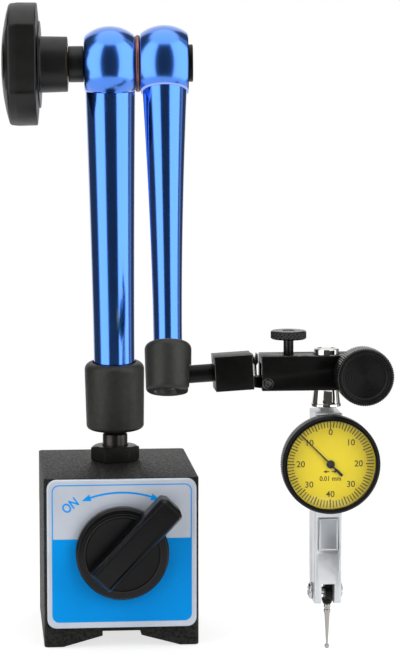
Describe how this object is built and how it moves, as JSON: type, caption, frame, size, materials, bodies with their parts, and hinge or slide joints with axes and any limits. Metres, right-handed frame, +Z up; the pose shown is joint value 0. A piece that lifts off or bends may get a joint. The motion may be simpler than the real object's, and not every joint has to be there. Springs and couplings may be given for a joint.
{
  "type": "magnetic indicator base",
  "caption": "Switchable magnetic base with a one-knob locking arm of two tapered tubes, a fine-adjusting clamp and a lever dial test indicator.",
  "frame": {"origin": "under the middle of the whole assembly's box, level with the base's two feet", "axes": "+Z up, -Y out of the face with the switch and the dial, +X towards the indicator"},
  "size_m": [0.121, 0.0898, 0.2071],
  "materials": {
    "wrinkle_black": "sandy black wrinkle paint",
    "printed_plate": "satin silver plate printed light blue",
    "bush_aluminium": "turned aluminium",
    "magnet_grey": "sintered ferrite",
    "bright_steel": "bright steel",
    "black_steel": "blackened steel, half glossy",
    "brown_steel": "steel blackened to a brownish tone",
    "collar_black": "satin black",
    "blue_anodised": "polished and anodised blue",
    "copper": "copper",
    "brass": "turned brass",
    "black_plastic": "black moulded plastic",
    "chrome": "polished chrome",
    "satin_chrome": "satin chrome",
    "cover_aluminium": "satin grey aluminium",
    "dial_yellow": "matt yellow with black graduations",
    "crystal": "clear flat crystal"
  },
  "bodies": {
    "base": {"pole_left": "wrinkle_black", "pole_right": "wrinkle_black", "spacer_top": "wrinkle_black", "spacer_bottom": "wrinkle_black", "label_plate": "printed_plate", "front_bush": "bush_aluminium", "rear_bush": "bush_aluminium", "rear_cover": "wrinkle_black", "rear_screw_1": "bright_steel", "rear_screw_2": "bright_steel", "rear_screw_3": "bright_steel", "rear_screw_4": "bright_steel", "stop_pin": "bright_steel", "lock_nut": "black_steel"},
    "switch": {"rotor_magnet": "magnet_grey", "rotor_shaft": "bright_steel", "rotor_clip": "bright_steel", "switch_knob": "black_plastic"},
    "lower_stud": {"ball_stud_lower": "brown_steel"},
    "lower_seat": {"lower_ball_seat": "brass"},
    "lower_arm": {"lower_collar": "collar_black", "lower_tube": "blue_anodised", "lower_head": "blue_anodised", "elbow_washer": "copper"},
    "lower_rod": {"lower_push_rod": "bright_steel"},
    "draw_bolt": {"elbow_bolt": "black_steel"},
    "sleeve": {"lock_sleeve": "black_steel"},
    "knob": {"lock_knob": "black_plastic", "knob_insert": "brass"},
    "upper_arm": {"upper_head": "blue_anodised", "upper_tube": "blue_anodised", "upper_ball_seat": "brass", "upper_collar": "collar_black"},
    "upper_rod": {"upper_push_rod": "bright_steel"},
    "upper_stud": {"ball_stud_upper": "black_steel"},
    "tongue": {"tongue_block": "black_steel", "fine_spring": "bright_steel"},
    "jaw": {"clamp_block": "black_steel", "hinge_pin": "bright_steel"},
    "pad": {"thrust_pad": "brass"},
    "thumb": {"thumb_screw": "black_steel"},
    "washer": {"clamp_washer": "bright_steel"},
    "clamp": {"clamp_knob": "black_steel"},
    "stem": {"stem": "chrome"},
    "indicator": {"case": "satin_chrome", "cover_plate": "cover_aluminium", "pivot_screw_left": "bright_steel", "pivot_screw_right": "bright_steel"},
    "dial": {"bezel": "black_steel", "crystal": "crystal", "dial_face": "dial_yellow"},
    "pointer": {"pointer": "black_steel", "pointer_pinion": "brass"},
    "crown": {"crown_gear": "brass"},
    "lever": {"sector_lever": "bright_steel"},
    "stylus": {"stylus_hub": "black_steel", "contact_point": "bright_steel"}
  },
  "joints": [
    {"name": "switch_turn", "type": "hinge", "parent": "base", "child": "switch", "pos_m": [-0.02341, 0.01192, 0.0314], "axis": [0, -1, 0], "range_deg": [0, 90]},
    {"name": "base_swivel", "type": "hinge", "parent": "base", "child": "lower_stud", "pos_m": [-0.02341, 0.01792, 0.0719], "axis": [0, 0, 1], "continuous": true},
    {"name": "base_tilt", "type": "hinge", "parent": "lower_stud", "child": "lower_seat", "pos_m": [-0.02341, 0.01792, 0.0719], "axis": [0.9976, -0.0698, 0], "range_deg": [-22, 14]},
    {"name": "arm_spin", "type": "hinge", "parent": "lower_seat", "child": "lower_arm", "pos_m": [-0.02341, 0.01792, 0.0719], "axis": [-0.0144, -0.0689, 0.9975], "continuous": true},
    {"name": "elbow_turn", "type": "hinge", "parent": "lower_arm", "child": "upper_arm", "pos_m": [-0.02508, 0.00995, 0.18721], "axis": [0.9975, -0.0704, 0.0096], "continuous": true},
    {"name": "sleeve_slide", "type": "slide", "parent": "lower_arm", "child": "sleeve", "axis": [-0.9975, 0.0704, -0.0096], "range_m": [0, 0.0004]},
    {"name": "lock_knob_turn", "type": "hinge", "parent": "sleeve", "child": "knob", "pos_m": [-0.02508, 0.00995, 0.18721], "axis": [-0.9975, 0.0704, -0.0096], "range_deg": [0, 360]},
    {"name": "bolt_slide", "type": "slide", "parent": "lower_arm", "child": "draw_bolt", "axis": [0.9975, -0.0704, 0.0096], "range_m": [0, 0.0004]},
    {"name": "lower_rod_slide", "type": "slide", "parent": "lower_arm", "child": "lower_rod", "axis": [-0.0144, -0.0689, 0.9975], "range_m": [0, 0.0002]},
    {"name": "upper_rod_slide", "type": "slide", "parent": "upper_arm", "child": "upper_rod", "axis": [0.0166, 0.3622, 0.932], "range_m": [0, 0.0002]},
    {"name": "stud_fold", "type": "hinge", "parent": "upper_arm", "child": "upper_stud", "pos_m": [-0.00913, -0.02936, 0.08943], "axis": [0.0215, 0.9317, -0.3625], "range_deg": [0, 55]},
    {"name": "stud_roll", "type": "hinge", "parent": "upper_stud", "child": "tongue", "pos_m": [-0.00913, -0.02936, 0.08943], "axis": [0.9982, 0, 0.0593], "continuous": true},
    {"name": "fine_tilt", "type": "hinge", "parent": "tongue", "child": "jaw", "pos_m": [0.02191, -0.02936, 0.08717], "axis": [0, 1, 0], "range_deg": [-2.5, 2.5]},
    {"name": "pad_slide", "type": "slide", "parent": "jaw", "child": "pad", "axis": [0, 0, 1], "range_m": [-0.00032, 0.00032]},
    {"name": "thumb_turn", "type": "hinge", "parent": "pad", "child": "thumb", "pos_m": [0.02901, -0.02936, 0.08717], "axis": [0, 0, 1], "range_deg": [-225, 225]},
    {"name": "washer_slide", "type": "slide", "parent": "jaw", "child": "washer", "axis": [0, -1, 0], "range_m": [0, 0.0007]},
    {"name": "clamp_knob_turn", "type": "hinge", "parent": "washer", "child": "clamp", "pos_m": [0.05141, -0.02936, 0.09007], "axis": [0, -1, 0], "range_deg": [0, 360]},
    {"name": "stem_slide", "type": "slide", "parent": "jaw", "child": "stem", "axis": [0, 0, 1], "range_m": [-0.006, 0]},
    {"name": "stem_turn", "type": "hinge", "parent": "stem", "child": "indicator", "pos_m": [0.04111, -0.02936, 0.08487], "axis": [0, 0, 1], "continuous": true},
    {"name": "bezel_turn", "type": "hinge", "parent": "indicator", "child": "dial", "pos_m": [0.04111, -0.02936, 0.06222], "axis": [0, -1, 0], "continuous": true},
    {"name": "pointer_turn", "type": "hinge", "parent": "indicator", "child": "pointer", "pos_m": [0.04111, -0.02936, 0.06222], "axis": [0, -1, 0], "range_deg": [-180, 180]},
    {"name": "crown_turn", "type": "hinge", "parent": "indicator", "child": "crown", "pos_m": [0.04111, -0.02926, 0.06222], "axis": [1, 0, 0], "range_deg": [-42, 42]},
    {"name": "lever_swing", "type": "hinge", "parent": "indicator", "child": "lever", "pos_m": [0.04111, -0.02936, 0.01962], "axis": [1, 0, 0], "range_deg": [-1.3, 1.3]},
    {"name": "stylus_set", "type": "hinge", "parent": "lever", "child": "stylus", "pos_m": [0.04111, -0.02936, 0.01962], "axis": [1, 0, 0], "range_deg": [-90, 90]}
  ],
  "couplings": [
    {"joint": "sleeve_slide", "follows": "lock_knob_turn", "m_per_rad": 0.000063662},
    {"joint": "bolt_slide", "follows": "lock_knob_turn", "m_per_rad": 0.000063662},
    {"joint": "lower_rod_slide", "follows": "lock_knob_turn", "m_per_rad": 0.000031831},
    {"joint": "upper_rod_slide", "follows": "lock_knob_turn", "m_per_rad": 0.000031831},
    {"joint": "pad_slide", "follows": "fine_tilt", "m_per_rad": 0.0071},
    {"joint": "thumb_turn", "follows": "fine_tilt", "ratio": 89.221},
    {"joint": "clamp_knob_turn", "follows": "washer_slide", "rad_per_m": 8976},
    {"joint": "crown_turn", "follows": "pointer_turn", "ratio": -0.22857},
    {"joint": "lever_swing", "follows": "pointer_turn", "ratio": 0.006993}
  ]
}
